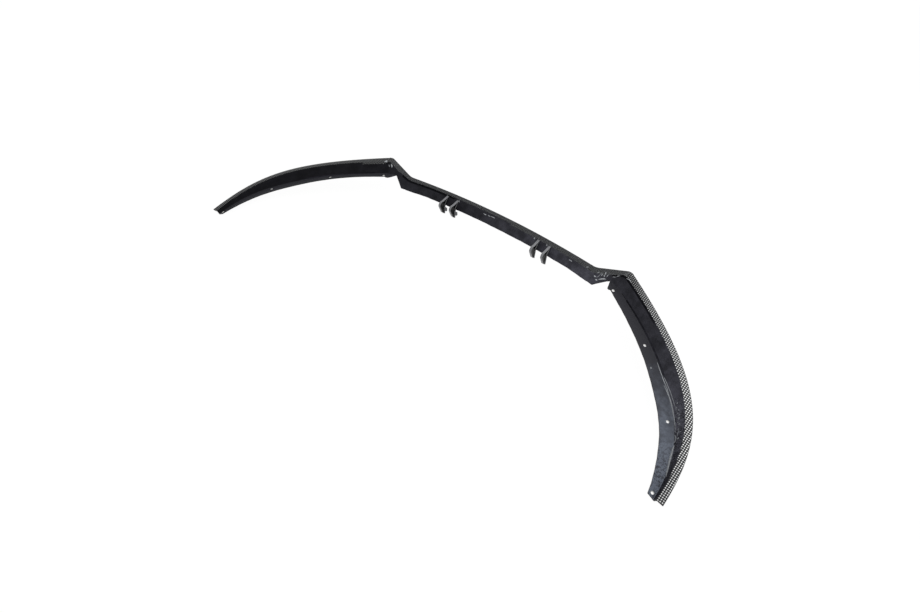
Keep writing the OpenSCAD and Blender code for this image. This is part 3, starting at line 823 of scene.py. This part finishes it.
def glossy_weave():
    """Carbon fibre cloth in plain weave under gloss resin, moulded: a black and silver lattice."""
    f = settings("finish")
    made, tree = new_material("carbon_weave_gloss_moulded")
    path = path_along(tree)
    run = add(tree, "Math", {0: path}, operation="ABSOLUTE")
    on_wing = add(tree, "Math", {0: run, 1: Outline().corner_path}, operation="GREATER_THAN")
    tow = add(tree, "Mix", {0: on_wing, 2: f.centre_tow, 3: f.tow}, data_type="FLOAT")
    on_top, height = weave(tree, tow)
    crown = add(tree, "Math", {0: height, 1: 1.5}, operation="POWER")
    glint = add(tree, "Math", {0: on_top, 1: crown}, operation="MULTIPLY")
    # Painted highlight: along the right wing the tows' tones grow paler towards the rear, for the
    # lamp's glint
    late = add(tree, "MapRange", {0: path, 1: PAINTED_REAR_GLINT[0], 2: PAINTED_REAR_GLINT[1]})
    wing_warp_with_painted_glint = add(tree, "Mix", {0: late, 6: f.front_warp, 7: f.warp}, data_type="RGBA")
    warp = add(tree, "Mix", {0: on_wing, 6: f.centre_warp, 7: wing_warp_with_painted_glint}, data_type="RGBA")
    weft = add(tree, "Mix", {0: late, 6: f.weft, 7: f.painted_glint_weft}, data_type="RGBA")
    tone = add(tree, "Mix", {0: glint, 6: weft, 7: warp}, data_type="RGBA")
    return finish_material(made, tone, 0.34, 0.1, height, 0.1 * MM, {
        "Metallic": on_top, "Coat Weight": 0.08, "Coat Roughness": 0.12})


# Share of the pale tone at places along the outer edge, in metres, negative on the left. On the
# walls it is clouds of milky resin and also painted light and shade that the walls get along the
# part; on the flanges it is milky resin and a painted sheen; on the dark lines it fades their
# painted shade
EDGE_REACH = 1.25
WALL_HAZE_AND_LIGHT = [
    (-1.25, 0.08), (-0.5, 0.14), (-0.45, 0.26), (-0.2, 0.3), (-0.07, 0.4), (0.13, 0.7),
    (0.3, 0.86), (0.4, 0.95), (0.46, 0.5), (0.7, 0.5), (0.8, 0.72), (0.88, 1.0), (1.0, 1.0),
    (1.06, 0.5), (1.15, 0.3)]
# The flange's pale share is milky resin and a painted sheen on the right flange's rear
FLANGE_HAZE_AND_SHEEN = [(-1.25, 0), (0.72, 0), (0.78, 0.05), (0.867, 0.35), (0.95, 0.75), (1.03, 1.0)]
# The dark lines of painted shade grow paler towards the wing ends by these shares
SHADE_LINE_HAZE = [
    (-0.86, 0.52), (-0.64, 0.22), (-0.5, 0.08), (0.5, 0.08), (0.64, 0.22), (0.86, 0.52)]
# How far the clouds shift those places, in metres, and where the skin gets crumpled
CLOUD_DRIFT = 0.12
WALL_CREASES = (0.9, 0.94)
FLANGE_CREASES = (1.04, 1.1)


def bag_side(name, dark, pale, scale, haze, shine, creases=None):
    """Carbon laminate on its bag side: dull black with clouds of milky resin, whose share along
    the edge also paints light, shade and sheen.

    The scale is of clouds and of folds, in features to the metre. From the first place in
    creases to the second, the skin gets crumpled.
    """
    made, tree = new_material(name)
    place = add(tree, "TexCoord").outputs["Object"]
    path = path_along(tree)
    cloud = add(tree, "TexNoise", {
        "Vector": place, "Scale": scale[0], "Detail": 5.0, "Roughness": 0.62})
    fold = add(tree, "TexNoise", {
        "Vector": place, "Scale": scale[1], "Detail": 3.0, "Distortion": 1.4})
    fine = add(tree, "TexNoise", {"Vector": place, "Scale": 420.0, "Detail": 3.0})
    drift = add(tree, "Math", {0: cloud, 1: CLOUD_DRIFT, 2: path}, operation="MULTIPLY_ADD")
    shifted = add(tree, "MapRange", {
        0: drift, 1: CLOUD_DRIFT / 2 - EDGE_REACH, 2: CLOUD_DRIFT / 2 + EDGE_REACH})
    ramp = add(tree, "ValToRGB", {"Fac": shifted})
    stops = ramp.color_ramp.elements
    stops.remove(stops[0])
    for number, (along, amount) in enumerate(haze):
        position = (along + EDGE_REACH) / (2 * EDGE_REACH)
        stop = stops.new(position) if number else stops[0]
        stop.position = position
        stop.color = (amount, amount, amount, 1)
    clouds = add(tree, "MapRange", {0: cloud, 1: 0.38, 2: 0.68, 3: 0.45, 4: 1.0})
    share = add(tree, "Math", {0: clouds, 1: ramp}, operation="MULTIPLY")
    height = 0.5
    if creases:
        rough = add(tree, "MapRange", {0: path, 1: creases[0], 2: creases[1]})
        crumple = add(tree, "MapRange", {0: fold, 1: 0.38, 2: 0.62, 3: 0.3, 4: 2.3})
        factor = add(tree, "Mix", {0: rough, 2: 1.0, 3: crumple}, data_type="FLOAT")
        share = add(tree, "Math", {0: share, 1: factor}, operation="MULTIPLY")
        height = add(tree, "Math", {0: rough, 1: 1.1, 2: 0.5}, operation="MULTIPLY_ADD")
    tone = add(tree, "Mix", {0: share, 6: dark, 7: pale}, data_type="RGBA")
    folds = add(tree, "Math", {0: fold, 1: height, 2: cloud}, operation="MULTIPLY_ADD")
    bump = add(tree, "Math", {0: fine, 1: 0.12, 2: folds}, operation="MULTIPLY_ADD")
    gloss = add(tree, "MapRange", {0: share, 1: 0.0, 2: 1.0, 3: shine[0], 4: shine[1]})
    return finish_material(made, tone, 0.5, gloss, bump, 0.9 * MM)


def bare_laminate():
    """Carbon laminate, bag side, resin rich: dull black, paler towards the right with milky resin
    and painted light.
    """
    f = settings("finish")
    return bag_side("carbon_laminate_bag_side", f.wall, f.wall_haze_and_light, (34.0, 200.0),
                    WALL_HAZE_AND_LIGHT, (0.04, 0.2), WALL_CREASES)


def flange_laminate():
    """Carbon laminate, bag side with pooled resin: dark in front, milky and crumpled behind, with a
    painted sheen on the right flange's rear.
    """
    f = settings("finish")
    return bag_side("carbon_laminate_pooled_resin", f.flange, f.flange_haze_and_sheen, (48.0, 150.0),
                    FLANGE_HAZE_AND_SHEEN, (0.1, 0.32), FLANGE_CREASES)


def painted_shade_laminate():
    """Painted shade: a flat black line of laminate, where shade falls under the ridge and in the
    crease.
    """
    f = settings("finish")
    return bag_side("carbon_laminate_dry", f.painted_shade, f.wall_haze_and_light, (90.0, 200.0),
                    SHADE_LINE_HAZE, (0.0, 0.0))


def sanded_edge(name, tone, depth, shine):
    """Carbon laminate, cut and sanded: its scratches keep a share of the tone."""
    made, tree = new_material(name)
    place = add(tree, "TexCoord").outputs["Object"]
    fine = add(tree, "TexNoise", {"Vector": place, "Scale": 700.0, "Detail": 2.0})
    scratch = [c * depth for c in tone]
    tones = add(tree, "Mix", {0: fine, 6: scratch, 7: tone}, data_type="RGBA")
    return finish_material(made, tones, 0.4, shine, fine, 0.2 * MM)


def resin_and_glints():
    """Epoxy resin, cured under the bag: greyish, smooth and shiny, duller on the wings' rear. Its
    pale spots at the left corner, the tabs' tops and the right corner's ridge are painted glints.
    """
    f = settings("finish")
    made, tree = new_material("epoxy_resin_cured")
    place = add(tree, "TexCoord").outputs["Object"]
    cloud = add(tree, "TexNoise", {"Vector": place, "Scale": 160.0, "Detail": 2.0})
    parts = add(tree, "SeparateXYZ", {0: place})
    rear = add(tree, "MapRange", {0: parts.outputs["Y"], 1: 0.1, 2: -0.05})
    tone = add(tree, "Mix", {0: rear, 6: f.resin, 7: f.rear_resin}, data_type="RGBA")
    milk = add(tree, "MapRange", {0: cloud, 3: 0.7, 4: 1.1})
    tones = add(tree, "VectorMath", {0: tone, "Scale": milk}, operation="SCALE")
    return finish_material(made, tones, 0.24, 0.5, cloud, 0.3 * MM)


# Angles from which an edge is shaded sharp, and is softened on the tabs, and by how much
SKIN_SHARP = radians(32)
TAB_SHARP = radians(40)
TAB_EDGE = radians(30)
TAB_BEVEL = 0.45 * MM
# Share of a tab face's normal that points across the car, from which the face is web
WEB_FACING = 0.9


class SPLITTER_OT_shell(bpy.types.Operator):
    """Builds the moulded skin with its notches and screw holes."""

    bl_idname = "splitter.shell"
    bl_label = "Lip shell"

    def execute(self, context):
        outline = Outline()
        f = settings("finish")
        trim = sanded_edge("carbon_laminate_trimmed", f.trim, 0.45, 0.2)
        # The holes' chamfers get a near-white painted highlight
        hole_highlight = sanded_edge("carbon_laminate_drilled", f.hole_highlight, 0.9, 0.3)
        mesh = swept_mesh(outline.stations(), [
            glossy_weave(), bare_laminate(), flange_laminate(), trim, painted_shade_laminate()])
        shell = new_object("lip_skin", mesh)
        cut(shell, cutters(outline, [trim, hole_highlight]))
        shell.data.shade_smooth()
        shell.data.set_sharp_from_angle(angle=SKIN_SHARP)
        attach(shell, "root")
        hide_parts("lip_shell")
        return {"FINISHED"}


class SPLITTER_OT_resin_and_glints(bpy.types.Operator):
    """Lays the ridges and drips of cured resin on the skin, and pale spots of it that paint glints.
    """

    bl_idname = "splitter.resin"
    bl_label = "Resin marks"

    def execute(self, context):
        stations = Outline().stations()
        made = bmesh.new()
        for points, width in RESIN_RIDGES_AND_HIGHLIGHT:
            resin_ridge(made, stations, points, width)
        for drip in RESIN_DRIPS_AND_GLINTS:
            resin_drip(made, stations, *drip)
        mesh = mesh_of(made, "resin_marks", [resin_and_glints()])
        mesh.shade_smooth()
        marks = new_object("resin_marks", mesh)
        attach(marks, "root")
        return {"FINISHED"}


class SPLITTER_OT_tabs(bpy.types.Operator):
    """Builds the four hook tabs with softened edges and sanded rims."""

    bl_idname = "splitter.tabs"
    bl_label = "Hook tabs"

    def execute(self, context):
        f = settings("finish")
        rim = sanded_edge("tab_rim_sanded", f.rim, 0.45, 0.5)
        web = sanded_edge("tab_web_moulded", f.web, 0.45, 0.15)
        for name in TABS:
            made = bmesh.new()
            made.from_mesh(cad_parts[name].data)
            bmesh.ops.remove_doubles(made, verts=made.verts, dist=0.01 * MM)
            bmesh.ops.dissolve_limit(
                made, angle_limit=radians(1), verts=made.verts, edges=made.edges)
            sharp = [e for e in made.edges if e.calc_face_angle(0) > TAB_EDGE]
            bmesh.ops.bevel(made, geom=sharp, offset=TAB_BEVEL, segments=3, profile=0.5,
                            affect="EDGES", clamp_overlap=True)
            mesh = mesh_of(made, name + "_looks", [rim, web])
            for face in mesh.polygons:
                face.material_index = int(abs(face.normal.x) > WEB_FACING)
            mesh.shade_smooth()
            mesh.set_sharp_from_angle(angle=TAB_SHARP)
            tab = new_object(name + "_looks", mesh)
            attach(tab, "root")
            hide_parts(name)
        return {"FINISHED"}


class SPLITTER_OT_stage(bpy.types.Operator):
    """Sets the floor, the soft light and the camera."""

    bl_idname = "splitter.stage"
    bl_label = "Stage"

    # The floor's half width in metres, and its own light, which only shows as background
    FLOOR = 20
    FLOOR_GLOW = 1.07
    GLOW_SHARE = 0.9

    def execute(self, context):
        g = settings("stage")
        scene = context.scene
        scene.view_settings.view_transform = "Standard"
        self.sky(scene, g)
        self.floor()
        self.soft_box(g)
        self.camera(scene, g)
        return {"FINISHED"}

    def seen(self, tree):
        """1 for rays that show the background, and 0 for rays that light the object."""
        path = add(tree, "LightPath")
        rays = [path.outputs[f"Is {kind} Ray"] for kind in ("Camera", "Glossy", "Transmission")]
        straight = add(tree, "Math", {0: rays[0], 1: rays[1]}, operation="MAXIMUM")
        return add(tree, "Math", {0: straight, 1: rays[2]}, operation="MAXIMUM")

    def sky(self, scene, g):
        """An even white surround."""
        scene.world = bpy.data.worlds.new("studio")
        scene.world.use_nodes = True
        tree = scene.world.node_tree
        tree.nodes.clear()
        strength = add(tree, "MapRange", {0: self.seen(tree), 3: g.fill, 4: 1.0})
        surround = add(tree, "Background", {"Color": (1, 1, 1), "Strength": strength})
        add(tree, "OutputWorld", {"Surface": surround})

    def floor(self):
        """A white floor that keeps a faint shadow."""
        made, tree = new_material("floor_matt_white")
        paint = add(tree, "BsdfDiffuse", {"Color": (0.85, 0.85, 0.85)})
        glow = add(tree, "Emission", {"Color": (1, 1, 1), "Strength": self.FLOOR_GLOW})
        share = add(tree, "Math", {0: self.seen(tree), 1: self.GLOW_SHARE}, operation="MULTIPLY")
        both = add(tree, "MixShader", {0: share, 1: paint, 2: glow})
        add(tree, "OutputMaterial", {"Surface": both})
        mesh = bpy.data.meshes.new("floor")
        corners = ((-1, -1), (1, -1), (1, 1), (-1, 1))
        mesh.from_pydata([(self.FLOOR * x, self.FLOOR * y, 0) for x, y in corners], [], [range(4)])
        mesh.materials.append(made)
        floor = new_object("floor", mesh)
        floor.location.z = CAD_BOX[0][2] - 0.2 * MM

    def soft_box(self, g):
        """A square soft box above the car's front."""
        light = bpy.data.lights.new("soft_box", "AREA")
        light.size = g.box_size
        light.energy = g.box_power
        made = new_object("soft_box", light)
        made.location = g.box_place
        aim = Vector(g.box_aim) - Vector(g.box_place)
        made.rotation_euler = aim.to_track_quat("-Z", "Y").to_euler()

    def camera(self, scene, g):
        """A camera at the photograph's viewing angle."""
        data = bpy.data.cameras.new("camera")
        data.lens = g.lens
        data.sensor_width = 36
        data.clip_start = 0.05
        camera = new_object("camera", data)
        back = Matrix.Rotation(g.azimuth, 3, "Z") @ Vector((0, -cos(g.elevation), sin(g.elevation)))
        level = (-back).cross(Vector((0, 0, 1))).normalized()
        fall = (-back).cross(level)
        right = cos(g.roll) * level + sin(g.roll) * fall
        down = -sin(g.roll) * level + cos(g.roll) * fall
        axes = Matrix((right, -down, back)).transposed()
        camera.matrix_world = Matrix.Translation(g.place) @ axes.to_4x4()
        scene.camera = camera


class SPLITTER_PT_panel(bpy.types.Panel):
    """Lists the settings and the steps in the sidebar."""

    bl_label = "Splitter lip"
    bl_idname = "SPLITTER_PT_panel"
    bl_space_type = "VIEW_3D"
    bl_region_type = "UI"
    bl_category = "Splitter lip"

    def draw(self, context):
        for step in STEPS:
            self.layout.operator(step.bl_idname)
        for name in GROUPS:
            box = self.layout.box()
            box.label(text=name.capitalize())
            group = settings(name)
            for field in group.__annotations__:
                box.prop(group, field)


GROUPS = {
    "outline": SPLITTER_PG_outline,
    "section": SPLITTER_PG_section,
    "cuts": SPLITTER_PG_cuts,
    "finish": SPLITTER_PG_finish,
    "stage": SPLITTER_PG_stage,
}
STEPS = [SPLITTER_OT_stage, SPLITTER_OT_shell, SPLITTER_OT_resin_and_glints, SPLITTER_OT_tabs]
CLASSES = [*GROUPS.values(), *STEPS, SPLITTER_PT_panel]


def register():
    """Registers the classes and hangs the settings on the scene."""
    for item in CLASSES:
        bpy.utils.register_class(item)
    for name, group in GROUPS.items():
        setattr(bpy.types.Scene, "splitter_" + name, PointerProperty(type=group))


def unregister():
    """Takes the settings and the classes away again."""
    for name in GROUPS:
        delattr(bpy.types.Scene, "splitter_" + name)
    for item in reversed(CLASSES):
        bpy.utils.unregister_class(item)


def main():
    """Builds everything in order."""
    register()
    bpy.ops.splitter.stage()
    bpy.ops.splitter.shell()
    bpy.ops.splitter.resin()
    bpy.ops.splitter.tabs()


if __name__ == "__main__":
    main()
